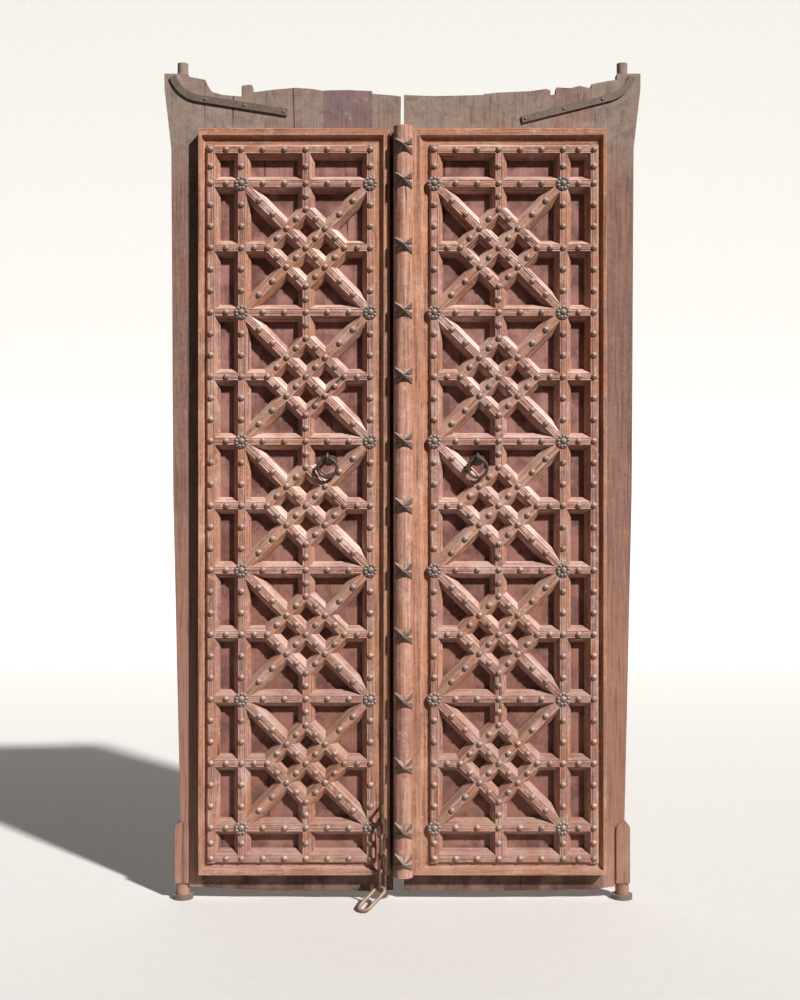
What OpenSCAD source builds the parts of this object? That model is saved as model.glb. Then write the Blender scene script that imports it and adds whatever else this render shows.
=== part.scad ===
// Two-leaf plank door hung on pivots, each leaf faced with a nailed lattice of crossing bars.
// Millimetres. X runs along the closed door, the front faces -Y, Z is up.
// The origin is on the floor, midway between the pivot axes and in their plane.

/* [Leaves] */
// Distance of the pivot axes in from the outer edges at the foot
pivot_in = 4; // [2:1:8]
// Thickness of the planks
plank_t = 32; // [26:1:40]
// Height of the planks' lower ends above the floor
plank_foot_z = 24; // [20:1:34]
// Plain border between the upper moulding and the lowest point of the plank tops
head_margin = 95; // [70:1:140]
// Width of the border past the outer lattice upright, at the foot
border_foot_w = 84; // [78:1:90]
// Width of the border past the outer lattice upright, at half height
border_mid_w = 103; // [95:1:112]
// Width of the border past the outer lattice upright, at the top
border_top_w = 126; // [114:1:132]
// Height of the raised outer corners over the plank tops
corner_rise = 58; // [50:1:70]
// Gap between the two leaves at the top
leaf_gap = 8; // [5:1:12]
// Gap between the two leaves at the foot, where the left leaf is worn away
leaf_gap_foot = 28; // [20:1:34]
// Thickness of the ledges across the back
ledge_t = 28; // [18:1:36]
// Width of the ledges across the back
ledge_w = 85; // [60:1:110]

/* [Lattice] */
// Width of one lattice square
square_w = 335; // [320:1:345]
// Height of one lattice square
square_h = 335; // [320:1:345]
// Number of lattice squares, one above the other
squares = 5; // [3:1:5]
// Height of the lowest row of rosettes above the floor
first_row_z = 196; // [190:1:210]
// Distance from the middle of the door to the inner lattice upright
inner_x = 83; // [80:1:88]
// Width of the narrow bay beside the outer upright
side_bay = 80; // [74:1:90]
// Height of the bay under the lowest row
foot_bay = 80; // [74:1:88]
// Height of the bay over the highest row
head_bay = 88; // [76:1:96]
// Half diagonal of the diamond in each square
diamond_r = 100; // [92:1:106]

/* [Lattice bars] */
// Width of a bar where it meets the plank
bar_w = 44; // [40:1:48]
// Width of a bar's flat crown
crown_w = 18; // [14:1:20]
// Height of a bar over the plank
bar_h = 32; // [26:1:36]
// Height of the upright edge under a bar's sloping sides
plinth_h = 9; // [6:1:12]
// Distance of the two fine crown grooves from the middle of the bar
groove_at = 6; // [5:0.5:6]
// Depth of the fine crown grooves
groove_d = 1.4; // [1:0.1:2]
// Half width of the bars along the moulding, on the moulding's side
edge_half = 12; // [10:1:14]

/* [Moulding] */
// Height of the moulding over the plank
moulding_h = 36; // [34:1:42]
// Width of the moulding at the head
moulding_w = 42; // [36:1:46]
// Width of the moulding at the foot
moulding_foot_w = 30; // [26:1:40]
// Width of the moulding on the pivot side
moulding_side_w = 20; // [16:1:24]
// Width of the moulding on the meeting side
moulding_meet_w = 44; // [42:1:46]
// Gap between the left leaf's moulding and the meeting post
post_gap = 10; // [8:1:12]

/* [Meeting post] */
// Width of the meeting post
post_w = 50; // [46:1:52]
// Depth of the meeting post, from the plank to its rounded front
post_d = 72; // [66:1:80]
// Gap between the meeting post and the left leaf
post_lift = 0.3; // [0.2:0.1:3]
// Width of an iron head on the post
head_w = 46; // [40:1:48]
// Height of an iron head on the post
head_h = 42; // [36:1:46]
// How far an iron head stands out of the post
head_out = 20; // [14:1:26]
// Widest part of the flutes down an iron head's four faces
flute_d = 13; // [12:1:18]
// Upright rim round an iron head
head_rim = 9; // [6:1:12]

/* [Studs and rosettes] */
// Diameter of a stud
stud_d = 16; // [12:0.5:18]
// Height of a stud
stud_h = 7; // [5:0.5:8]
// Diameter of a rosette
rosette_d = 36; // [30:1:40]
// Thickness of a rosette's disc
rosette_t = 3; // [2:0.5:5]
// Number of petals round a rosette
petals = 9; // [7:1:9]

/* [Pivots] */
// Diameter of the foot peg
peg_d = 36; // [30:1:40]
// Height of the foot peg's lower end above the floor
peg_foot_z = 4; // [3:0.5:8]
// Height of the shoulder over the foot peg
peg_shoulder_z = 44; // [38:1:60]
// Height of the pivot post's round top
pivot_post_top_z = 204; // [180:1:240]
// Radial clearance of the peg in its cup
peg_clear = 0.08; // [0.03:0.01:0.1]
// Diameter of the upper pivot
upper_pin_d = 28; // [24:1:34]
// Length of the upper pivot
upper_pin_l = 30; // [25:1:60]
// Height of the pivot cup
cup_h = 12; // [10:1:18]
// Wall of the pivot cup
cup_wall = 9; // [5:1:12]

/* [Straps] */
// Width of a corner strap
strap_w = 18; // [14:1:24]
// Thickness of a corner strap
strap_t = 6; // [4:0.5:8]
// Bend radius at the middle of a corner strap
strap_bend_r = 84; // [70:1:92]
// Angle that the upper end of a corner strap leans from upright
strap_start = 18; // [10:1:24]
// Straight run of a corner strap
strap_run = 236; // [200:1:250]

/* [Ring pulls] */
// Outer diameter of a ring
ring_d = 57; // [48:1:62]
// Diameter of the rod that a ring is bent from
ring_rod = 8; // [6:0.5:9]
// Diameter of the round plate behind a ring
pull_plate_d = 40; // [34:1:41]
// Distance of the pull's eye from the plank
pull_reach = 46; // [45:1:56]
// Distance of a pull from the middle upright of its square
pull_side = 56; // [50:1:60]
// Distance of a pull below the rail over it
pull_drop = 44; // [43:1:48]

/* [Door chain] */
// Diameter of the chain's rod
link_rod = 8; // [6:0.5:8]
// Outer length of a link
link_l = 62; // [60:1:66]
// Outer width of a link
link_w = 27; // [26:0.5:30]
// Outer length of the hasp loop
loop_l = 96; // [90:1:104]
// Outer width of the hasp loop
loop_w = 44; // [40:1:48]
// Diameter of the rod that the hasp loop is bent from
loop_rod = 9.5; // [8:0.5:10]
// How far the chain hangs in front of the moulding
chain_out = 22; // [20:1:30]
// Turn of each link against the one above it
link_turn = 75; // [70:1:90]
// Height of the lowest link's lower bar above the floor, to the middle of the bar
chain_foot_z = 38; // [34:0.5:42]
// Height of the staple that the chain hangs from
staple_h = 34; // [26:1:44]

/* [Hidden] */
$fn = 48;

// Colours of the weathered timber and the old iron
timber = [0.66, 0.42, 0.33];
timber_pale = [0.75, 0.50, 0.40];
timber_dark = [0.45, 0.30, 0.25];
iron = [0.33, 0.27, 0.24];

// Small overlap for cuts, the shift that keeps corners apart, and the gap between touching curves
cut = 1;
shift = 0.3;
seat_gap = 0.3;

// Planes along Y
face_y = -plank_t / 2;
back_y = plank_t / 2;
crown_y = face_y - bar_h;
moulding_y = face_y - moulding_h;
post_y = face_y - post_d;

// Lattice lines of the right leaf, the left leaf is its mirror image
mid_x = inner_x + square_w / 2;
rosette_x = inner_x + square_w;
outer_x = rosette_x + side_bay;
foot_bar_z = first_row_z - foot_bay;
last_row_z = first_row_z + squares * square_h;
head_bar_z = last_row_z + head_bay;
function row_z(k) = first_row_z + k * square_h;
function mid_z(k) = row_z(k) + square_h / 2;

// Outer lines of the moulding frame
frame_in_x = inner_x - edge_half - moulding_meet_w;
frame_out_x = outer_x + edge_half + moulding_side_w;
frame_foot_z = foot_bar_z - edge_half - moulding_foot_w;
frame_head_z = head_bar_z + edge_half + moulding_w;

// Plank lines
plank_top_z = frame_head_z + head_margin;
corner_top_z = plank_top_z + corner_rise;
pivot_x = outer_x + border_foot_w - pivot_in;
meet_x = leaf_gap / 2;
post_in_x = frame_in_x - post_w;

// Flat shape in the X-Z plane, given thickness between two Y planes
module slab(y_front, y_back) {
    translate([0, y_back, 0])
        rotate([90, 0, 0])
            linear_extrude(y_back - y_front)
                children();
}

// Bar sections, across the bar and up from the plank. The outlines are for cutting, and run past both faces.
// Their shoulders lie a little higher than those of the bars, so that no two corners fall together.
shoulder_h = plinth_h + shift;
over_crown = crown_w / 2 - cut * (bar_w - crown_w) / 2 / (bar_h - shoulder_h);
function bar_outline() = [
    [-bar_w / 2, -cut], [-bar_w / 2, shoulder_h], [-over_crown, bar_h + cut],
    [over_crown, bar_h + cut], [bar_w / 2, shoulder_h], [bar_w / 2, -cut]
];

function groove(at) = [[at - groove_d, bar_h], [at, bar_h - groove_d], [at + groove_d, bar_h]];

function bar_section() = concat(
    [[-bar_w / 2, 0], [-bar_w / 2, plinth_h], [-crown_w / 2, bar_h]],
    groove(-groove_at),
    groove(groove_at),
    [[crown_w / 2, bar_h], [bar_w / 2, plinth_h], [bar_w / 2, 0]]
);

edge_chamfer = 4;
function edge_bar_section() = concat(
    [[-edge_half, 0], [-edge_half, bar_h - edge_chamfer], [edge_chamfer - edge_half, bar_h]],
    groove(groove_at),
    [[crown_w / 2, bar_h], [bar_w / 2, plinth_h], [bar_w / 2, 0]]
);

function edge_bar_outline() = [
    [-edge_half, -cut], [-edge_half, bar_h + cut], [over_crown, bar_h + cut],
    [bar_w / 2, shoulder_h], [bar_w / 2, -cut]
];

// The same, widened under the moulding, to trim what ends in an edge bar
function edge_cutter_outline() = [
    [-bar_w, -cut], [-bar_w, bar_h + cut], [over_crown, bar_h + cut],
    [bar_w / 2, shoulder_h], [bar_w / 2, -cut]
];

// A straight bar on the plank face from point a to point b, both as [x, z]
module bar(a, b, section) {
    d = b - a;
    translate([a[0], face_y, a[1]])
        rotate([0, atan2(d[0], d[1]), 0])
            linear_extrude(norm(d))
                polygon([for (p = section) [p[0], -p[1]]]);
}

module bars(list, section) {
    for (ends = list) bar(ends[0], ends[1], section);
}

// Bar lines of one leaf, as pairs of end points. The edge bars run clockwise round the lattice.
edge_foot_z = foot_bar_z - edge_half;
edge_head_z = head_bar_z + edge_half;
edge_in_x = inner_x - edge_half;
edge_out_x = outer_x + edge_half;
edge_uprights = [
    [[inner_x, edge_foot_z], [inner_x, edge_head_z]],
    [[outer_x, edge_head_z], [outer_x, edge_foot_z]]
];
edge_rails = [
    [[edge_in_x, head_bar_z], [edge_out_x, head_bar_z]],
    [[edge_out_x, foot_bar_z], [edge_in_x, foot_bar_z]]
];
rosette_uprights = [[[rosette_x, foot_bar_z], [rosette_x, head_bar_z]]];
row_rails = [for (k = [0:squares]) [[inner_x, row_z(k)], [outer_x, row_z(k)]]];
function stub_rails(k) = [
    [[inner_x, mid_z(k)], [mid_x - diamond_r, mid_z(k)]],
    [[mid_x + diamond_r, mid_z(k)], [outer_x, mid_z(k)]]
];
function stub_uprights(k) = [
    [[mid_x, row_z(k)], [mid_x, mid_z(k) - diamond_r]],
    [[mid_x, mid_z(k) + diamond_r], [mid_x, row_z(k + 1)]]
];
short_uprights = [
    [[mid_x, foot_bar_z], [mid_x, row_z(0)]],
    [[mid_x, row_z(squares)], [mid_x, head_bar_z]]
];
function falling(k) = [
    [[inner_x, row_z(k + 1)], [rosette_x, row_z(k)]],
    [[mid_x - shift, mid_z(k) + diamond_r + shift], [mid_x + diamond_r + shift, mid_z(k) - shift]],
    [[mid_x - diamond_r - shift, mid_z(k) + shift], [mid_x + shift, mid_z(k) - diamond_r - shift]]
];
function rising(k) = [
    [[inner_x, row_z(k)], [rosette_x, row_z(k + 1)]],
    [[mid_x - diamond_r - shift, mid_z(k) - shift], [mid_x + shift, mid_z(k) + diamond_r + shift]],
    [[mid_x - shift, mid_z(k) - diamond_r - shift], [mid_x + diamond_r + shift, mid_z(k) + shift]]
];

// The lines that bound one square, as cutting bodies for its own diagonals
module square_cutter(k) {
    foot_z = row_z(k) - bar_w;
    head_z = row_z(k + 1) + bar_w;
    bar([inner_x, foot_z], [inner_x, head_z], edge_cutter_outline());
    bar([rosette_x, foot_z], [rosette_x, head_z], bar_outline());
    for (j = [k, k + 1])
        bar([inner_x - bar_w, row_z(j)], [rosette_x + bar_w, row_z(j)], bar_outline());
    bars(stub_rails(k), bar_outline());
    bars(stub_uprights(k), bar_outline());
}

module uprights() color(timber) {
    bars(edge_uprights, edge_bar_section());
    difference() {
        union() {
            bars(rosette_uprights, bar_section());
            bars(short_uprights, bar_section());
        }
        bars(edge_rails, edge_bar_outline());
        for (k = [0, squares])
            bar([inner_x, row_z(k)], [rosette_x - bar_w / 2, row_z(k)], bar_outline());
    }
    for (k = [0:squares - 1])
        difference() {
            bars(stub_uprights(k), bar_section());
            for (j = [k, k + 1])
                bar([inner_x, row_z(j)], [rosette_x, row_z(j)], bar_outline());
        }
}

module rails() color(timber) {
    difference() {
        bars(edge_rails, edge_bar_section());
        bars(edge_uprights, edge_bar_outline());
    }
    difference() {
        union() {
            bars(row_rails, bar_section());
            for (k = [0:squares - 1]) bars(stub_rails(k), bar_section());
        }
        bars(edge_uprights, edge_bar_outline());
        bars(rosette_uprights, bar_outline());
    }
}

module falling_bars() color(timber_pale)
    for (k = [0:squares - 1])
        difference() {
            bars(falling(k), bar_section());
            square_cutter(k);
        }

module rising_bars() color(timber)
    for (k = [0:squares - 1])
        difference() {
            bars(rising(k), bar_section());
            square_cutter(k);
            bars(falling(k), bar_outline());
        }

// Stud places. A share runs from a square's middle (0) to its corner (1).
crossing_share = 2 * diamond_r / (square_w + square_h);
diagonal_shares = [0.73, 0.52, crossing_share, 0.15];
diagonal_ways = [[1, 1], [1, -1], [-1, 1], [-1, -1]];
axis_ways = [[1, 0], [-1, 0], [0, 1], [0, -1]];
stud_pitch = 1 / 6;
stub_mid = [square_w / 2 - diamond_r, square_h / 2 - diamond_r] / 2;

function times(a, b) = [a[0] * b[0], a[1] * b[1]];
function square_studs(k) = let (c = [mid_x, mid_z(k)], half = [square_w, square_h] / 2) concat(
    [c],
    [for (w = diagonal_ways, s = diagonal_shares) c + s * times(w, half)],
    [for (w = axis_ways) c + diamond_r * w],
    [for (w = diagonal_ways, s = [0.25, 0.75]) c + diamond_r * times(w, [s, 1 - s])],
    [for (w = axis_ways) c + times(w, half - stub_mid)],
    [c + [square_w / 2 + side_bay / 2, 0]]
);
column_studs = [for (x = [inner_x, rosette_x, outer_x], k = [0:squares - 1], s = [1:5])
    [x, row_z(k) + s * stud_pitch * square_h]];
row_studs = [for (k = [0:squares], s = [1:5]) [inner_x + s * stud_pitch * square_w, row_z(k)]];
bay_studs = [for (k = [0:squares], x = [outer_x, outer_x - side_bay / 2]) [x, row_z(k)]];
short_bay_studs = [for (x = [inner_x, mid_x, rosette_x, outer_x],
    z = [first_row_z - foot_bay / 2, last_row_z + head_bay / 2]) [x, z]];
edge_rail_studs = [for (z = [foot_bar_z, head_bar_z],
    x = concat([for (s = [0:6]) inner_x + s * stud_pitch * square_w], [outer_x - side_bay / 2, outer_x]))
    [x, z]];
stud_places = concat(
    [for (k = [0:squares - 1]) each square_studs(k)],
    column_studs, row_studs, bay_studs, short_bay_studs, edge_rail_studs
);

// A domed head standing out of a Y plane
module dome(y, d, h) {
    r = (d * d / 4 + h * h) / (2 * h);
    translate([0, y, 0])
        intersection() {
            translate([0, r - h, 0])
                sphere(r);
            translate([-d, -2 * d, -d])
                cube(2 * d);
        }
}

module studs() color(iron)
    for (p = stud_places)
        translate([p[0], 0, p[1]])
            dome(crown_y, stud_d, stud_h);

petal_sink = 0.5;
module rosette() {
    petal_r = rosette_d * 0.12;
    ring_r = rosette_d / 2 - petal_r - petal_sink;
    petal_y = crown_y - rosette_t + petal_sink;
    translate([0, crown_y, 0])
        rotate([90, 0, 0])
            cylinder(d = rosette_d, h = rosette_t);
    for (n = [0:petals - 1])
        rotate([0, n * 360 / petals, 0])
            translate([0, 0, ring_r])
                dome(petal_y, 2 * petal_r, petal_r * 0.9);
    dome(petal_y, rosette_d * 0.46, rosette_d / 5);
}

module rosettes() color(iron)
    for (x = [inner_x, rosette_x], k = [0:squares])
        translate([x, 0, row_z(k)])
            rosette();

// Moulding: a flat fillet, a cove and a low fillet, from its outer edge (0) inwards
cove_steps = 6;
function moulding_section(w) = let (flat = 0.42 * w, low = 0.2 * w, cove_w = w - flat - low,
        cove_h = 0.4 * moulding_h) concat(
    [[0, 0], [0, moulding_h], [flat, moulding_h]],
    [for (s = [1:cove_steps - 1]) let (a = 90 * s / cove_steps)
        [flat + cove_w * (1 - cos(a)), moulding_h - cove_h * sin(a)]],
    [[flat + cove_w, moulding_h - cove_h], [w, moulding_h - cove_h], [w, 0]]
);

// One mitred length: its outer corners a and b in clockwise order, its inner corners c and d
module moulding(a, b, c, d, w) {
    intersection() {
        bar(a, b, moulding_section(w));
        slab(moulding_y - cut, face_y + cut)
            polygon([a, b, c, d]);
    }
}

function frame_corner(n, in_x) = [
    [in_x, frame_foot_z], [in_x, frame_head_z], [frame_out_x, frame_head_z], [frame_out_x, frame_foot_z]
][n % 4];
lattice_corners = [
    [edge_in_x, edge_foot_z], [edge_in_x, edge_head_z], [edge_out_x, edge_head_z], [edge_out_x, edge_foot_z]
];

// Side n of the moulding frame: 0 meeting side, 1 head, 2 pivot side, 3 foot
module frame_side(n, w, in_x = frame_in_x) color(timber)
    moulding(frame_corner(n, in_x), frame_corner(n + 1, in_x),
        lattice_corners[(n + 1) % 4], lattice_corners[n], w);

// Planks. A ragged end is a list of [share of the width, height over the common line].
function ragged(x0, x1, z, points) = [for (p = points) [x0 + p[0] * (x1 - x0), z + p[1]]];
function reversed(v) = [for (n = [len(v) - 1:-1:0]) v[n]];

module plank(x0, x1, top, foot, foot_x0) color(timber)
    slab(face_y, back_y)
        polygon(concat(
            ragged(foot_x0, x1, plank_foot_z, foot),
            reversed(ragged(x0, x1, plank_top_z, top))
        ));

// Pivot stile with its tapered outer edge and raised corner, notched for the pivot post
corner_in_x = pivot_x - 16;
stile_bulge = 5;
module pivot_stile(x0, shoulder) {
    outer_top = outer_x + border_top_w;
    color(timber_dark) {
        difference() {
            slab(face_y, back_y)
                polygon(concat(
                    [[x0, plank_foot_z + stile_foot], [outer_x + border_foot_w, plank_foot_z + 14],
                    [outer_x + border_foot_w, pivot_post_top_z],
                    [outer_x + border_mid_w, (plank_foot_z + plank_top_z) / 2],
                    [outer_x + border_mid_w + stile_bulge, frame_head_z - head_bay / 2],
                    [outer_top, plank_top_z + 20], [outer_top, corner_top_z],
                    [corner_in_x, corner_top_z]],
                    reversed(ragged(x0, corner_in_x, plank_top_z, shoulder))
                ));
            pivot_post_block(plank_foot_z - peg_d, peg_d, back_y + cut);
        }
        translate([pivot_x, 0, corner_top_z])
            cylinder(d = upper_pin_d, h = upper_pin_l);
    }
}

// Lower pivot post: a round-topped block let into the stile's edge, with the peg under it
post_proud = 5;
module pivot_post_block(foot_z, out_x, back) {
    round_z = pivot_post_top_z - peg_d / 2;
    slab(face_y - post_proud, back)
        translate([pivot_x - peg_d / 2, foot_z])
            square([peg_d + out_x, round_z - foot_z]);
    translate([pivot_x, back, round_z])
        rotate([90, 0, 0])
            cylinder(d = peg_d, h = back - face_y + post_proud);
}

module pivot_post() color(timber_dark) {
    pivot_post_block(peg_shoulder_z, 0, back_y);
    translate([pivot_x, 0, peg_foot_z])
        cylinder(d = peg_d, h = peg_shoulder_z - peg_foot_z);
}

module pivot_cups() color(iron)
    for (side = [-1, 1])
        translate([side * pivot_x, 0, 0])
            difference() {
                cylinder(d = peg_d + 2 * (peg_clear + cup_wall), h = cup_h);
                translate([0, 0, peg_foot_z])
                    cylinder(d = peg_d + 2 * peg_clear, h = cup_h);
            }

// Ledges across the back: at the lowest row, at half height and at the highest row
ledge_in = 26;
module ledges() color(timber_dark)
    for (k = [0, squares / 2, squares])
        translate([meet_x + ledge_in, back_y, row_z(k) - ledge_w / 2])
            cube([pivot_x - peg_d - meet_x - 2 * ledge_in, ledge_t, ledge_w]);

// Foot strip: a newer board behind the left leaf's worn foot
foot_strip_in = 66;
foot_strip_out = 32;
foot_strip_drop = 10;
foot_strip_h = 40;
foot_strip_t = 18;
module foot_strip_board() color(timber_pale)
    slab(back_y, back_y + foot_strip_t)
        translate([inner_x + foot_strip_in, plank_foot_z - foot_strip_drop])
            square([square_w - foot_strip_in - foot_strip_out, foot_strip_h]);

// Corner strap: an arc from the corner of the leaf into a straight sloping run
strap_edge = 14;
strap_end_in = 6;
strap_mid = [
    outer_x + border_top_w - strap_edge - (strap_bend_r + strap_w / 2) * cos(strap_start),
    corner_top_z - strap_end_in + (strap_bend_r - strap_w / 2) * sin(strap_start)
];
module strap(slope) color(iron)
    translate([strap_mid[0], face_y, strap_mid[1]])
        rotate([90, 0, 0]) {
            rotate([0, 0, slope - 90])
                rotate_extrude(angle = 90 - slope - strap_start)
                    translate([strap_bend_r - strap_w / 2, 0])
                        square([strap_w, strap_t]);
            rotate([0, 0, slope])
                translate([-strap_run, -strap_bend_r, 0]) {
                    translate([0, -strap_w / 2, 0])
                        cube([strap_run, strap_w, strap_t]);
                }
        }

nail_runs = [0.08, 0.52, 0.96];
nail_d = 9;
nail_h = 3;
module strap_nails(slope) color(iron)
    translate([strap_mid[0], 0, strap_mid[1]])
        rotate([0, -slope, 0])
            for (run = nail_runs)
                translate([-strap_run * run, 0, -strap_bend_r])
                    dome(face_y - strap_t, nail_d, nail_h);

// Ring pull: a round plate with an eye on a shank, and the ring that hangs in the eye
pull_x = mid_x - pull_side;
eye_y = face_y - pull_reach;
eye_in_r = ring_rod / 2 + 2;
pull_square = floor(squares / 2);
pull_z = row_z(pull_square + 1) - pull_drop;
ring_mid_r = (ring_d - ring_rod) / 2;
ring_z = pull_z - (eye_in_r - ring_rod / 2 - seat_gap) - ring_mid_r;

module torus(mid_r, rod)
    rotate_extrude()
        translate([mid_r, 0])
            circle(d = rod);

module pull_plate() color(iron)
    translate([pull_x, 0, pull_z]) {
        dome(face_y, pull_plate_d, 5);
        translate([0, face_y, 0])
            rotate([90, 0, 0])
                cylinder(d = ring_rod, h = pull_reach - eye_in_r - ring_rod / 2);
        translate([0, eye_y, 0])
            rotate([0, 90, 0])
                torus(eye_in_r + ring_rod / 2, ring_rod);
    }

module ring() color(iron)
    translate([pull_x, eye_y, ring_z])
        rotate([90, 0, 0])
            torus(ring_mid_r, ring_rod);

// Chain: a round-ended loop of rod in the X-Z plane, its upper bar's middle at the origin
module oval_loop(l, w, rod) {
    end_r = (w - rod) / 2;
    straight = l - w;
    translate([0, 0, -end_r]) {
        for (side = [-1, 1])
            translate([side * end_r, 0, -straight])
                cylinder(d = rod, h = straight);
        rotate([90, 0, 0])
            rotate_extrude(angle = 180)
                translate([end_r, 0])
                    circle(d = rod);
        translate([0, 0, -straight])
            rotate([-90, 0, 0])
                rotate_extrude(angle = 180)
                    translate([end_r, 0])
                        circle(d = rod);
    }
}

// The links hang under the staple, each turned against the one above it
link_count = 4;
left_frame_in_x = post_gap - post_in_x;
chain_x = (left_frame_in_x + edge_in_x) / 2;
chain_y = moulding_y - chain_out;
link_step = link_l - 2 * link_rod - seat_gap;
staple_z = chain_foot_z + link_count * link_step;
function link_top_z(n) = staple_z + link_rod + seat_gap - n * link_step;

module chain_link(n) color(iron)
    translate([-chain_x, chain_y, link_top_z(n)])
        rotate([0, 0, n * link_turn])
            oval_loop(link_l, link_w, link_rod);

// Hasp loop: leans from the last link down to the floor
loop_top_z = chain_foot_z + (link_rod + loop_rod) / 2 + seat_gap;
loop_drop = loop_top_z - loop_rod / 2 - seat_gap;
loop_lean = asin(loop_drop / (loop_l - loop_rod));
module hasp_loop() color(iron)
    translate([-chain_x, chain_y, loop_top_z])
        rotate([0, loop_lean - 90, (link_count - 1) * link_turn])
            rotate([0, 0, 90])
                oval_loop(loop_l, loop_w, loop_rod);

// Staple: two legs through the moulding, one over the other, and a bar across their front ends
staple_y = chain_y - link_rod - 2;
module staple_legs(x, d)
    for (z = [staple_z, staple_z + staple_h])
        translate([x, face_y, z])
            rotate([90, 0, 0])
                cylinder(d = d, h = face_y - staple_y);

module chain_staple() color(iron) {
    staple_legs(-chain_x, link_rod);
    translate([-chain_x, staple_y, staple_z - link_rod / 2])
        cylinder(d = link_rod, h = staple_h + link_rod);
}

module left_meeting_moulding()
    difference() {
        frame_side(0, edge_in_x - left_frame_in_x, left_frame_in_x);
        staple_legs(chain_x, link_rod + 2 * seat_gap);
    }

// Meeting post on the right leaf: half-round front, relieved at the back over the left leaf
post_mid_x = post_in_x + post_w / 2;
module meeting_post() color(timber)
    difference() {
        union() {
            translate([post_in_x, post_y + post_w / 2, frame_foot_z])
                cube([post_w, post_d - post_w / 2, frame_head_z - frame_foot_z]);
            translate([post_mid_x, post_y + post_w / 2, frame_foot_z])
                cylinder(d = post_w, h = frame_head_z - frame_foot_z);
        }
        translate([post_in_x - cut, face_y - post_lift, frame_foot_z - cut])
            cube([meet_x - post_in_x + cut, post_lift + cut, frame_head_z - frame_foot_z + 2 * cut]);
    }

// Iron heads: four-sided points, hollowed to sit on the round of the post
post_head_z = concat(
    [foot_bar_z, head_bar_z],
    [for (k = [0:squares]) row_z(k)],
    [for (k = [0:squares - 1]) mid_z(k)]
);

module point_outline(w, l)
    polygon([[-w / 2, 0], [-w / 2, -head_rim], [0, -l], [w / 2, -head_rim], [w / 2, 0]]);

// Tapered cuts down two opposite faces of a head, from its point out past its rim
module head_flutes(w, l)
    for (turn = [0, 180])
        rotate([0, turn, 0])
            translate([0, -l, 0])
                rotate([0, 0, atan2(l - head_rim, w / 2)])
                    rotate([0, 90, 0])
                        cylinder(d1 = 2, d2 = flute_d, h = norm([w / 2, l - head_rim]) + head_rim);

head_base = post_w / 3;
head_l = head_out + head_base;
module post_heads() color(iron)
    for (z = post_head_z)
        translate([post_mid_x, post_y + head_base, z])
            difference() {
                intersection() {
                    translate([0, 0, -head_h])
                        linear_extrude(2 * head_h)
                            point_outline(head_w, head_l);
                    rotate([0, 90, 0])
                        translate([0, 0, -head_w])
                            linear_extrude(2 * head_w)
                                point_outline(head_h, head_l);
                }
                translate([0, post_w / 2 - head_base, -head_h])
                    cylinder(d = post_w + 2 * seat_gap, h = 2 * head_h);
                head_flutes(head_w, head_l);
                rotate([0, 90, 0])
                    head_flutes(head_h, head_l);
            }

// Plank joints and ragged ends of each leaf, from the meeting edge outwards
right_joints = [meet_x, mid_x - 38, rosette_x - 30, outer_x - 3];
left_joints = [meet_x, inner_x - 4, mid_x - 43, rosette_x + 4];
right_tops = [
    [[0, 2], [0.4, -1], [1, 2]],
    [[0, 4], [0.2, 8], [0.7, 12], [0.94, 18], [1, 14]],
    [[0, 2], [0.12, 3], [0.14, 22], [0.5, 20], [0.7, 26], [0.98, 20], [1, 16]],
    [[0, 30], [0.6, 38], [1, 42]]
];
left_tops = [
    [[0, -2], [0.3, 1], [1, 5]],
    [[0, 12], [0.5, 15], [0.97, 14], [1, 12]],
    [[0, 13], [0.15, 18], [0.34, 21], [0.6, 16], [0.86, 9], [0.87, 28], [0.92, 29], [1, 26]],
    [[0, -2], [0.35, 2], [0.55, 10], [0.62, 24], [0.68, 42], [1, 50]]
];
plank_feet = [
    [[0, 2], [0.5, 0], [1, -2]],
    [[0, -2], [0.6, 1], [1, 0]],
    [[0, 0], [0.4, 4], [1, 3]]
];
stile_foot = 3;
strap_slope_left = 9;
strap_slope_right = 14;

module left() mirror([1, 0, 0]) children();

module left_plank(n)
    left()
        plank(left_joints[n], left_joints[n + 1], left_tops[n], plank_feet[n],
            n == 0 ? leaf_gap_foot - meet_x : left_joints[n]);

module right_plank(n)
    plank(right_joints[n], right_joints[n + 1], right_tops[n], plank_feet[n], right_joints[n]);

pivot_cups();

left() pivot_stile(left_joints[3], left_tops[3]);  // left_pivot_stile
left_plank(0);  // left_plank_1
left_plank(1);  // left_plank_2
left_plank(2);  // left_plank_3
left() ledges();  // left_ledges
left() frame_side(1, moulding_w, left_frame_in_x);  // left_moulding_head
left() frame_side(3, moulding_foot_w, left_frame_in_x);  // left_moulding_foot
left() frame_side(2, moulding_side_w, left_frame_in_x);  // left_moulding_side
left() left_meeting_moulding();  // left_moulding_meeting
left() uprights();  // left_uprights
left() rails();  // left_rails
left() rising_bars();  // left_falling_bars
left() falling_bars();  // left_rising_bars
left() studs();  // left_studs
left() rosettes();  // left_rosettes
left() pivot_post();  // left_pivot_post
left() strap(strap_slope_left);  // left_strap
left() strap_nails(strap_slope_left);  // left_strap_nails
left() pull_plate();  // left_pull_plate
left() ring();  // left_ring
left() foot_strip_board();  // left_foot_strip

chain_staple();
chain_link(0);  // chain_link_1
chain_link(1);  // chain_link_2
chain_link(2);  // chain_link_3
chain_link(3);  // chain_link_4
hasp_loop();

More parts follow.
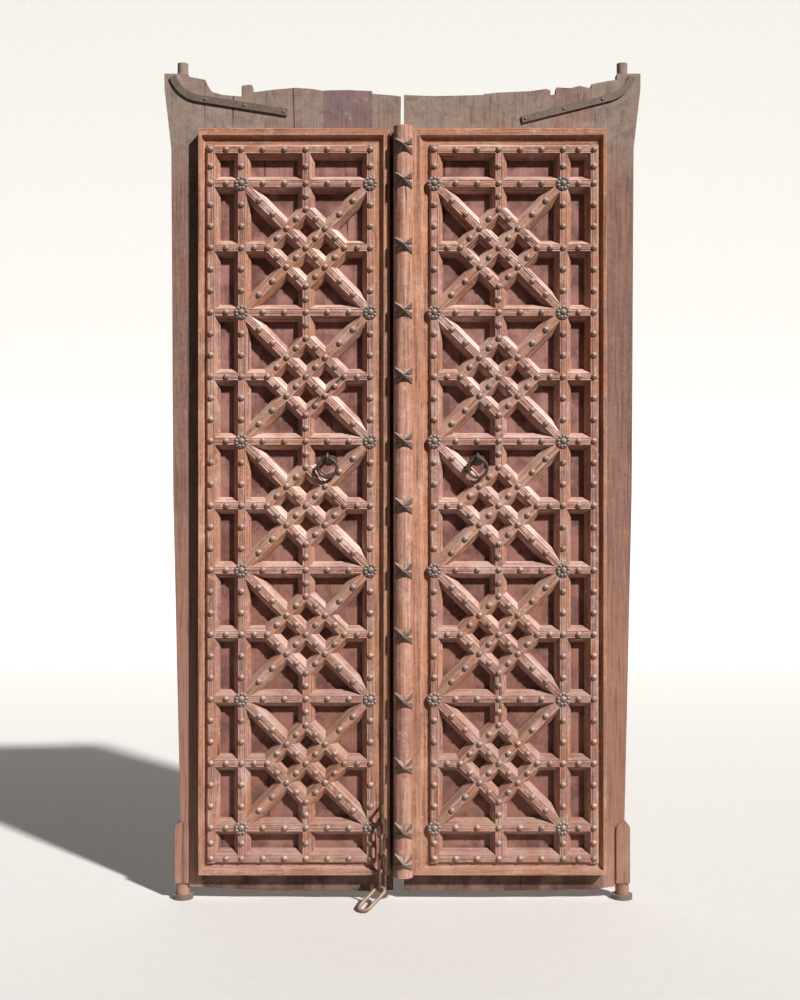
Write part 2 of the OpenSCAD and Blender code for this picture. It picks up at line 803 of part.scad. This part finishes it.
pivot_stile(right_joints[3], right_tops[3]);  // right_pivot_stile
right_plank(0);  // right_plank_1
right_plank(1);  // right_plank_2
right_plank(2);  // right_plank_3
ledges();  // right_ledges
frame_side(1, moulding_w);  // right_moulding_head
frame_side(3, moulding_foot_w);  // right_moulding_foot
frame_side(2, moulding_side_w);  // right_moulding_side
frame_side(0, moulding_meet_w);  // right_moulding_meeting
uprights();  // right_uprights
rails();  // right_rails
falling_bars();  // right_falling_bars
rising_bars();  // right_rising_bars
studs();  // right_studs
rosettes();  // right_rosettes
pivot_post();  // right_pivot_post
strap(strap_slope_right);  // right_strap
strap_nails(strap_slope_right);  // right_strap_nails
pull_plate();  // right_pull_plate
ring();  // right_ring

meeting_post();
post_heads();
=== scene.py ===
import math

import bpy
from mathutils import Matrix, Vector


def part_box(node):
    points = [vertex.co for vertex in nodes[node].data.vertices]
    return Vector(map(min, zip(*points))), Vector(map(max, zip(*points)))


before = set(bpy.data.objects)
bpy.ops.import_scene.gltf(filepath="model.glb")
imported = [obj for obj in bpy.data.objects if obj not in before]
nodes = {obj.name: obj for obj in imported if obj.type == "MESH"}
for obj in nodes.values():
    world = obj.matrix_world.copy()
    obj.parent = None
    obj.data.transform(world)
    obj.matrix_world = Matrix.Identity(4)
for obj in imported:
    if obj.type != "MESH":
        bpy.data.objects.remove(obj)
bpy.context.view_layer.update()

SIDES = ("left", "right")
LINK_COUNT = 4

# Planes of the door, read from the frame, in metres
PANEL_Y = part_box("right_plank_1")[0].y
CROWN_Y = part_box("right_rails")[0].y
FIELD_LOW_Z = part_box("right_moulding_foot")[0].z
FIELD_HIGH_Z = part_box("right_moulding_head")[1].z
FIELD_OUT_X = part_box("right_moulding_side")[1].x

# Grain directions in the plane of the door, as a turn about Y that brings the grain upright
UPRIGHT = 0.0
LEVEL = math.radians(90)
FALLING = math.radians(45)
RISING = math.radians(-45)

# Patterns drawn out along the grain: waves per metre across and along it, detail, roughness, distortion
LONG_GRAIN = (70, 3.0, 6, 0.66, 0.6)
RIBS = (190, 6.0, 4, 0.62, 0.5)
FINE_GRAIN = (520, 14, 3, 0.6, 0.0)
CRACKS = (46, 1.3, 3, 0.5, 0.8)
# Patterns that are the same all ways: waves per metre, detail, roughness, distortion
DRIFT = (3.1, 3, 0.55, 0.0)
TINT = (9.0, 2, 0.5, 0.0)
PATCHES = (16.0, 5, 0.66, 0.0)
WAVES = (34.0, 2, 0.5, 0.0)
BLOTCHES = (38.0, 5, 0.7, 0.6)
FLECKS = (75.0, 5, 0.75, 0.0)
PITS = (240.0, 3, 0.7, 0.0)
IRON_PATCHES = (26.0, 4, 0.6, 0.0)
IRON_MOTTLE = (85.0, 5, 0.66, 0.0)
IRON_PITS = (520.0, 3, 0.7, 0.0)
FLOOR_SPECKLE = (30.0, 3, 0.5, 0.0)

# Wear in metres: radius of every edge, reach of the worn rim along it, depth of the relief
WOOD_EDGE = 0.0014
WOOD_RIM = 0.0030
WOOD_RELIEF = 0.0018
IRON_EDGE = 0.0007
IRON_RIM = 0.0016
IRON_RELIEF = 0.0011
# Surfaces: strength of the relief, roughness where the pattern is low and high, shine, rays at an edge
WOOD_BUMP = 0.65
IRON_BUMP = 0.5
WOOD_ROUGHNESS = (0.92, 0.72)
IRON_ROUGHNESS = (0.38, 0.64)
FLOOR_ROUGHNESS = 0.9
SPECULAR = 0.25
EDGE_SAMPLES = 4

# Where a tone starts on the door and where it is full, in metres
# Painted shade: lattice and mouldings grow darker the deeper they lie, towards the boards
RECESS_SHADE_Y = (PANEL_Y - 0.010, PANEL_Y)
LOW_DUST_Z = (1.3, 0.3)
# Painted shade: the door grows darker towards the floor
LOW_SHADE_Z = (1.10, 0.12)
SPLASH_Z = (0.30, 0.02)
LOW_TONE_Z = (1.4, 0.5)
HEAD_Z = (FIELD_HIGH_Z - 0.20, FIELD_HIGH_Z + 0.03)
FRONT_Y = (0.0, PANEL_Y)
FIELD_X = (FIELD_OUT_X + 0.004, FIELD_OUT_X - 0.010)
FIELD_FOOT_Z = (FIELD_LOW_Z - 0.006, FIELD_LOW_Z + 0.006)
FIELD_TOP_Z = (FIELD_HIGH_Z + 0.006, FIELD_HIGH_Z - 0.006)
# Painted shadow on the boards just under the moulding's foot
SHADOW_UNDER_FIELD_Z = (FIELD_LOW_Z + 0.004, FIELD_LOW_Z - 0.010)


def srgb(r, g, b):
    """A colour given in 0-255 display values, as the linear colour that a shader takes."""
    def linear(c):
        c = c / 255
        return c / 12.92 if c <= 0.04045 else ((c + 0.055) / 1.055) ** 2.4
    return (linear(r), linear(g), linear(b), 1.0)


# Timber tones
OCHRE = srgb(176, 130, 114)
TAN = srgb(182, 134, 110)
ORANGE = srgb(178, 124, 94)
PURPLE = srgb(138, 98, 94)
WORN = srgb(218, 186, 174)
# Pink of wear, paler to serve as painted highlight on the falling bars
WEAR_AND_HIGHLIGHT_PINK = srgb(234, 208, 199)
DARK = srgb(92, 58, 48)
# Near-black of cracks and joints, also used for the painted shadow under the moulding
CRACK_AND_SHADOW = srgb(44, 27, 22)
DUST = srgb(186, 152, 136)
LOW_DUST = srgb(182, 150, 137)
# Main, worn and dark tone of a kind of timber
MOULDING_TONES = (srgb(180, 131, 107), srgb(220, 176, 150), DARK)
BOARD_TONES = (srgb(140, 108, 97), srgb(158, 126, 114), srgb(84, 62, 54))
LEDGE_TONES = (srgb(134, 102, 88), srgb(168, 134, 118), srgb(78, 56, 48))
STRIP_TONES = (srgb(190, 146, 116), srgb(206, 172, 142), srgb(140, 98, 72))
POST_TONES = (srgb(190, 143, 124), srgb(224, 186, 168), DARK)
# Boards low down, and inside the moulding
LOW_BOARD = srgb(170, 125, 106)
PANEL_DARK = srgb(106, 72, 66)
PANEL_PALE = srgb(158, 116, 106)
LOW_PANEL = srgb(140, 94, 78)
# Weathered heads of the boards, and what has aged on them
GREY_HEAD = srgb(144, 129, 118)
PURPLE_HEAD = srgb(122, 101, 104)
RED_HEAD = srgb(147, 118, 109)
AGED_RED = srgb(150, 116, 106)
AGED_PALE = srgb(176, 158, 148)
AGED_DARK = srgb(88, 72, 66)
AGED_RIB = srgb(84, 66, 60)
AGED_PIT = srgb(92, 72, 64)
# Studio floor
FLOOR_TONES = (srgb(214, 213, 211), srgb(222, 221, 219))


class Shader:
    """A material under construction, with methods that add nodes to it and give back their output."""

    def __init__(self, name):
        self.material = bpy.data.materials.new(name)
        self.material.use_nodes = True
        self.tree = self.material.node_tree
        self.surface = self.tree.nodes["Principled BSDF"]
        self.place = self.add("ShaderNodeTexCoord").outputs["Object"]
        x, self.y, self.z = self.add("ShaderNodeSeparateXYZ", Vector=self.place).outputs
        self.side = self.math("ABSOLUTE", x)
        self.normal = self.add("ShaderNodeNewGeometry").outputs["Normal"]

    def add(self, kind, settings=None, **inputs):
        """A new node itself, with its settings and with its inputs set or linked."""
        node = self.tree.nodes.new(kind)
        for key, value in (settings or {}).items():
            setattr(node, key, value)
        for key, value in inputs.items():
            self.put(node.inputs[key.replace("_", " ")], value)
        return node

    def put(self, socket, value):
        if isinstance(value, bpy.types.NodeSocket):
            self.tree.links.new(value, socket)
        else:
            socket.default_value = value

    def math(self, operation, a, b=0.0, clamp=False):
        node = self.add("ShaderNodeMath", {"operation": operation, "use_clamp": clamp})
        self.put(node.inputs[0], a)
        self.put(node.inputs[1], b)
        return node.outputs[0]

    def times(self, a, b):
        return self.math("MULTIPLY", a, b)

    def span(self, value, low, high, to_low=0.0, to_high=1.0):
        """Value between low and high, smoothly carried to another span and held at its ends."""
        node = self.add("ShaderNodeMapRange", {"interpolation_type": "SMOOTHSTEP"}, Value=value)
        limits = {"From Min": low, "From Max": high, "To Min": to_low, "To Max": to_high}
        for name, number in limits.items():
            node.inputs[name].default_value = number
        return node.outputs["Result"]

    def mix(self, share, a, b):
        node = self.add("ShaderNodeMix", {"data_type": "RGBA"})
        self.put(node.inputs["Factor"], share)
        self.put(node.inputs[6], a)
        self.put(node.inputs[7], b)
        return node.outputs[2]

    def lay(self, colour, tone, pattern, start, full, share=1.0):
        """A tone over a colour: none of it where a pattern is at start, and a share where it is full."""
        return self.mix(self.span(pattern, start, full, 0.0, share), colour, tone)

    def noise(self, scale, detail, roughness, distortion, vector=None):
        node = self.add("ShaderNodeTexNoise", Vector=vector or self.place, Scale=scale, Detail=detail,
                        Roughness=roughness, Distortion=distortion)
        return node.outputs["Fac"]

    def grain(self, turn, across, along, detail, roughness, distortion):
        """Noise on the place turned so that the grain runs upright, then scaled across and along it."""
        turned = self.add("ShaderNodeVectorRotate", {"rotation_type": "Y_AXIS"},
                          Vector=self.place, Angle=turn)
        scaled = self.add("ShaderNodeVectorMath", {"operation": "MULTIPLY"})
        self.put(scaled.inputs[0], turned.outputs[0])
        self.put(scaled.inputs[1], (across, across, along))
        return self.noise(1.0, detail, roughness, distortion, scaled.outputs[0])

    def facing_up(self):
        return self.add("ShaderNodeSeparateXYZ", Vector=self.normal).outputs["Z"]

    def rounded(self, radius):
        return self.add("ShaderNodeBevel", {"samples": EDGE_SAMPLES}, Radius=radius).outputs[0]

    def rim(self, radius, low, high):
        """Near 1 along sharp edges, from how far a rounded normal leaves the true one."""
        dot = self.add("ShaderNodeVectorMath", {"operation": "DOT_PRODUCT"})
        self.put(dot.inputs[0], self.rounded(radius))
        self.put(dot.inputs[1], self.normal)
        return self.span(dot.outputs["Value"], 1 - low, 1 - high)

    def relief(self, heights, strength, depth, radius):
        """Bump from (pattern, share) pairs, over edges that are rounded off by a small radius."""
        total = 0.0
        for pattern, share in heights:
            total = self.math("ADD", total, self.times(pattern, share))
        bump = self.add("ShaderNodeBump", Strength=strength, Distance=depth, Height=total,
                        Normal=self.rounded(radius))
        self.put(self.surface.inputs["Normal"], bump.outputs[0])

    def finish(self, colour, roughness, metallic=0.0):
        """The material itself, once its surface has its colour, roughness and shine."""
        self.put(self.surface.inputs["Base Color"], colour)
        self.put(self.surface.inputs["Roughness"], roughness)
        self.put(self.surface.inputs["Metallic"], metallic)
        self.put(self.surface.inputs["Specular IOR Level"], SPECULAR)
        return self.material


def old_wood(name, turn, main, worn, dark, wear=0.5, warm=0.6, recess_shade_y=None, edge_tone=None, zones=None):
    """Dry timber: grain, open cracks, worn edges, painted shade in the deep places and near the floor, and
    dust low down.

    A pattern's values lie round 0.5, and so do the limits of its spans and layers.
    """
    s = Shader(name)
    long_grain = s.grain(turn, *LONG_GRAIN)
    ribs = s.grain(turn, *RIBS)
    fine_grain = s.grain(turn, *FINE_GRAIN)
    patches = s.noise(*PATCHES)
    drift = s.noise(*DRIFT)
    tint = s.noise(*TINT)
    flecks = s.noise(*FLECKS)
    pits = s.noise(*PITS)
    waves = s.noise(*WAVES)
    crack = s.span(s.grain(turn, *CRACKS), 0.325, 0.295)

    colour = s.lay(s.mix(0.5, dark, main), main, long_grain, 0.28, 0.62)
    colour = s.lay(colour, worn, patches, 0.50, 0.72, wear)
    colour = s.lay(colour, ORANGE, tint, 0.46, 0.66, warm)
    colour = s.lay(colour, PURPLE, drift, 0.48, 0.30, 0.45)
    colour = s.lay(colour, dark, ribs, 0.50, 0.34, 0.60)
    colour = s.lay(colour, worn, ribs, 0.54, 0.70, 0.45)
    colour = s.lay(colour, dark, fine_grain, 0.56, 0.76, 0.45)
    colour = s.lay(colour, worn, flecks, 0.54, 0.68, 0.50)
    colour = s.lay(colour, dark, flecks, 0.46, 0.33, 0.45)
    colour = s.lay(colour, dark, pits, 0.60, 0.74, 0.35)

    # Pale dust and painted highlight on what faces up, then the worn edges
    broken = s.times(s.span(patches, 0.34, 0.58, 0.25, 0.80), s.span(ribs, 0.36, 0.56, 0.35, 1.0))
    dust_and_highlight = s.times(s.span(s.facing_up(), 0.20, 0.62), broken)
    colour = s.mix(dust_and_highlight, colour, s.lay(worn, LOW_DUST, s.z, *LOW_DUST_Z))
    edge = s.times(s.rim(WOOD_RIM, 0.03, 0.24), s.span(patches, 0.36, 0.60, 0.10, 0.70))
    colour = s.mix(edge, colour, edge_tone or worn)

    # Painted shade in the recesses, darker the nearer a surface lies to the boards
    if recess_shade_y:
        colour = s.lay(colour, dark, s.y, *recess_shade_y, 0.45)
    if zones:
        colour = zones(s, colour, patches, long_grain, ribs, pits)
    # Painted shade: darker towards the floor
    colour = s.lay(colour, dark, s.z, *LOW_SHADE_Z, 0.24)
    splash = s.times(s.span(s.z, *SPLASH_Z, 0.0, 0.22), s.span(patches, 0.38, 0.62))
    colour = s.mix(splash, colour, DUST)
    colour = s.mix(s.times(crack, 0.75), colour, CRACK_AND_SHADOW)

    heights = ((fine_grain, 0.40), (long_grain, 0.9), (pits, 0.25),
               (ribs, 0.8), (waves, 1.6), (crack, -0.7))
    s.relief(heights, WOOD_BUMP, WOOD_RELIEF, WOOD_EDGE)
    return s.finish(colour, s.span(long_grain, 0.3, 0.7, *WOOD_ROUGHNESS))


def board_zones(head_colour):
    """Tones of a board: weathered at the head, red-brown low down, purple-brown inside the moulding and a
    painted shadow under its foot.
    """
    def zones(s, colour, patches, long_grain, ribs, pits):
        blotches = s.noise(*BLOTCHES)
        aged = s.lay(head_colour, AGED_RED, patches, 0.48, 0.68, 0.45)
        aged = s.lay(aged, AGED_DARK, blotches, 0.50, 0.34, 0.45)
        aged = s.lay(aged, AGED_PALE, blotches, 0.54, 0.70, 0.50)
        aged = s.lay(aged, AGED_RIB, ribs, 0.46, 0.32, 0.40)
        aged = s.lay(aged, AGED_PIT, pits, 0.58, 0.72, 0.5)
        head = s.times(s.span(s.z, *HEAD_Z), s.span(patches, 0.30, 0.56, 0.40, 0.95))
        colour = s.mix(head, colour, aged)

        low = s.span(s.z, *LOW_TONE_Z, 0.0, 0.6)
        colour = s.mix(low, colour, s.lay(LOW_BOARD, PANEL_DARK, ribs, 0.52, 0.36, 0.5))
        panel = s.lay(PANEL_DARK, PANEL_PALE, patches, 0.34, 0.64)
        panel = s.lay(panel, PANEL_DARK, long_grain, 0.46, 0.30, 0.5)
        panel = s.mix(low, panel, s.lay(LOW_PANEL, PANEL_DARK, patches, 0.56, 0.40))

        across = s.times(s.span(s.side, *FIELD_X), s.span(s.y, *FRONT_Y))
        inside = s.times(across, s.times(s.span(s.z, *FIELD_FOOT_Z), s.span(s.z, *FIELD_TOP_Z)))
        # Painted shadow: the boards under the moulding's foot turn near-black
        under = s.times(across, s.span(s.z, *SHADOW_UNDER_FIELD_Z, 0.0, 0.85))
        return s.mix(under, s.mix(inside, colour, panel), CRACK_AND_SHADOW)
    return zones


def old_iron(name, bare, rust, dust, metallic, top_dust_and_highlight):
    """Hand-made iron: mottled with rust, dust and painted highlight on what faces up, and a worn rim."""
    s = Shader(name)
    mottle = s.noise(*IRON_MOTTLE)
    patches = s.noise(*IRON_PATCHES)
    pits = s.noise(*IRON_PITS)
    colour = s.lay(bare, rust, mottle, 0.36, 0.66)
    # Dust and painted highlight on what faces up
    dust_and_highlight = s.times(s.span(s.facing_up(), -0.25, 0.85, 0.0, top_dust_and_highlight),
                      s.span(patches, 0.30, 0.60, 0.35, 1.0))
    colour = s.mix(dust_and_highlight, colour, dust)
    colour = s.mix(s.times(s.rim(IRON_RIM, 0.05, 0.3), 0.45), colour, dust)
    s.relief(((mottle, 0.8), (pits, 0.3)), IRON_BUMP, IRON_RELIEF, IRON_EDGE)
    clear = s.math("SUBTRACT", 1.0, dust_and_highlight, True)
    return s.finish(colour, s.span(mottle, 0.3, 0.7, *IRON_ROUGHNESS), s.times(clear, metallic))


def lattice_bar(name, turn, main, worn, warm):
    return old_wood(name, turn, main, worn, DARK, wear=0.6, warm=warm, recess_shade_y=RECESS_SHADE_Y)


def moulding_length(name, turn):
    return old_wood(name, turn, *MOULDING_TONES, wear=0.5, warm=0.8, recess_shade_y=RECESS_SHADE_Y)


def board(name, head_colour):
    return old_wood(name, UPRIGHT, *BOARD_TONES, wear=0.45, warm=0.12, edge_tone=CRACK_AND_SHADOW,
                    zones=board_zones(head_colour))


# The falling bars wear a paler pink and the rising bars a warmer tan: painted light, as the sun from the
# upper right lights the falling bars' upper faces
lattice = {
    UPRIGHT: lattice_bar("lattice_wood_upright", UPRIGHT, OCHRE, WORN, 0.7),
    LEVEL: lattice_bar("lattice_wood_level", LEVEL, OCHRE, WORN, 0.6),
    FALLING: lattice_bar("lattice_wood_falling", FALLING, OCHRE, WEAR_AND_HIGHLIGHT_PINK, 0.4),
    RISING: lattice_bar("lattice_wood_rising", RISING, TAN, WORN, 0.9),
}
moulding = {
    UPRIGHT: moulding_length("moulding_wood_upright", UPRIGHT),
    LEVEL: moulding_length("moulding_wood_level", LEVEL),
}
boards = board("board_wood", GREY_HEAD)
purple_board = board("purple_board_wood", PURPLE_HEAD)
red_board = board("red_board_wood", RED_HEAD)
ledge_wood = old_wood("ledge_wood", LEVEL, *LEDGE_TONES, wear=0.4, warm=0.15)
pale_wood = old_wood("pale_wood", LEVEL, *STRIP_TONES, wear=0.4)
post_wood = old_wood("post_wood", UPRIGHT, *POST_TONES, wear=0.40)

# Iron: bare tone, rust and dust, how metallic it is and how much dust and painted highlight lies on what
# faces up
stud_iron = old_iron("stud_iron", srgb(124, 104, 95), srgb(146, 116, 102), srgb(208, 180, 168), 0.30, 0.75)
head_iron = old_iron("head_iron", srgb(92, 78, 72), srgb(118, 98, 88), srgb(196, 172, 160), 0.30, 0.65)
rosette_iron = old_iron("rosette_iron", srgb(118, 104, 98), srgb(136, 116, 106), srgb(194, 174, 164),
                        0.30, 0.65)
strap_iron = old_iron("strap_iron", srgb(104, 94, 86), srgb(118, 100, 90), srgb(152, 136, 124), 0.3, 0.5)
pull_iron = old_iron("pull_iron", srgb(58, 54, 50), srgb(84, 68, 58), srgb(132, 112, 98), 0.6, 0.45)
chain_iron = old_iron("chain_iron", srgb(72, 54, 46), srgb(106, 78, 64), srgb(152, 124, 108), 0.35, 0.5)
loop_iron = old_iron("loop_iron", srgb(118, 98, 84), srgb(140, 110, 90), srgb(188, 164, 144), 0.35, 0.6)

# The finish of each node, first of those that both leaves have
leaf_finishes = {
    "pivot_stile": boards, "plank_1": boards, "plank_2": boards, "plank_3": boards, "pivot_post": boards,
    "ledges": ledge_wood,
    "moulding_head": moulding[LEVEL], "moulding_foot": moulding[LEVEL],
    "moulding_side": moulding[UPRIGHT], "moulding_meeting": moulding[UPRIGHT],
    "uprights": lattice[UPRIGHT], "rails": lattice[LEVEL],
    "falling_bars": lattice[FALLING], "rising_bars": lattice[RISING],
    "studs": stud_iron, "rosettes": rosette_iron,
    "strap": strap_iron, "strap_nails": strap_iron,
    "pull_plate": pull_iron, "ring": pull_iron,
}
finishes = {f"{side}_{name}": finish for side in SIDES for name, finish in leaf_finishes.items()}
finishes.update({f"chain_link_{k + 1}": chain_iron for k in range(LINK_COUNT)})
finishes.update({
    "left_plank_2": purple_board, "right_plank_3": red_board, "left_foot_strip": pale_wood,
    "meeting_post": post_wood, "post_heads": head_iron, "pivot_cups": strap_iron,
    "chain_staple": chain_iron, "hasp_loop": loop_iron,
})
for name, finish in finishes.items():
    nodes[name].data.materials.clear()
    nodes[name].data.materials.append(finish)

# Pale floor that sweeps up into a backdrop
FLOOR_HALF = 9.0
FLOOR_FRONT = -0.8
SWEEP_START = 4.5
SWEEP_RADIUS = 2.0
BACKDROP_TOP = 8.0
SWEEP_STEPS = 24


def pale_floor():
    s = Shader("pale_floor")
    return s.finish(s.mix(s.noise(*FLOOR_SPECKLE), *FLOOR_TONES), FLOOR_ROUGHNESS)


def floor_sheet(name, profile, material):
    """A sheet across the studio that follows a profile of (y, z) points."""
    vertices = [(x, y, z) for y, z in profile for x in (-FLOOR_HALF, FLOOR_HALF)]
    faces = [(2 * k, 2 * k + 1, 2 * k + 3, 2 * k + 2) for k in range(len(profile) - 1)]
    mesh = bpy.data.meshes.new(name)
    mesh.from_pydata(vertices, [], faces)
    mesh.shade_smooth()
    mesh.materials.append(material)
    sheet = bpy.data.objects.new(name, mesh)
    bpy.context.scene.collection.objects.link(sheet)
    return sheet


floor_material = pale_floor()
sweep = [(FLOOR_FRONT, 0.0)]
for k in range(SWEEP_STEPS + 1):
    turn = math.radians(90) * k / SWEEP_STEPS
    sweep.append((SWEEP_START + SWEEP_RADIUS * math.sin(turn), SWEEP_RADIUS * (1 - math.cos(turn))))
sweep.append((SWEEP_START + SWEEP_RADIUS, BACKDROP_TOP))
floor_sheet("studio_floor", sweep, floor_material)
# The floor in front sends no light back on the door, whose shadows are deep in the photo
front_floor = floor_sheet("front_floor", [(-FLOOR_HALF, 0.0), (FLOOR_FRONT, 0.0)], floor_material)
front_floor.visible_diffuse = False

# Light from the upper right, as in the photo, with a weak fill from the left
DOOR_MIDDLE = (0.0, 0.0, 1.05)
KEY_PLACE = (3.6, -4.2, 5.1)
KEY_STRENGTH = 5.5
KEY_COLOUR = (1.0, 0.97, 0.94)
KEY_SPREAD = math.radians(3)
FILL_PLACE = (-3.0, -4.0, 2.6)
FILL_POWER = 6
FILL_COLOUR = (1.0, 0.97, 0.95)
FILL_SIZE = 3.0
SKY_COLOUR = (0.95, 0.96, 1.0, 1.0)
SKY_STRENGTH = 0.05


def lamp(name, kind, place, energy, colour, **settings):
    """A lamp that shines on the middle of the door."""
    light = bpy.data.lights.new(name, kind)
    light.energy = energy
    light.color = colour
    for key, value in settings.items():
        setattr(light, key, value)
    obj = bpy.data.objects.new(name, light)
    bpy.context.scene.collection.objects.link(obj)
    obj.location = place
    obj.rotation_euler = (Vector(DOOR_MIDDLE) - obj.location).to_track_quat("-Z", "Y").to_euler()


lamp("key", "SUN", KEY_PLACE, KEY_STRENGTH, KEY_COLOUR, angle=KEY_SPREAD)
lamp("fill", "AREA", FILL_PLACE, FILL_POWER, FILL_COLOUR, size=FILL_SIZE)

world = bpy.data.worlds.new("studio")
world.use_nodes = True
sky = world.node_tree.nodes["Background"]
sky.inputs["Color"].default_value = SKY_COLOUR
sky.inputs["Strength"].default_value = SKY_STRENGTH
bpy.context.scene.world = world

# The photo is taken level, square to the door
CAMERA_X = -0.0065
CAMERA_Z = 1.048
CAMERA_DISTANCE = 3.5
LENS_MM = 48.5
SENSOR_MM = 36.0
camera_data = bpy.data.cameras.new("camera")
camera_data.lens = LENS_MM
camera_data.sensor_width = SENSOR_MM
camera = bpy.data.objects.new("camera", camera_data)
bpy.context.scene.collection.objects.link(camera)
camera.location = (CAMERA_X, CROWN_Y - CAMERA_DISTANCE, CAMERA_Z)
camera.rotation_euler = (math.radians(90), 0.0, 0.0)
bpy.context.scene.camera = camera
bpy.context.scene.view_settings.view_transform = "Standard"
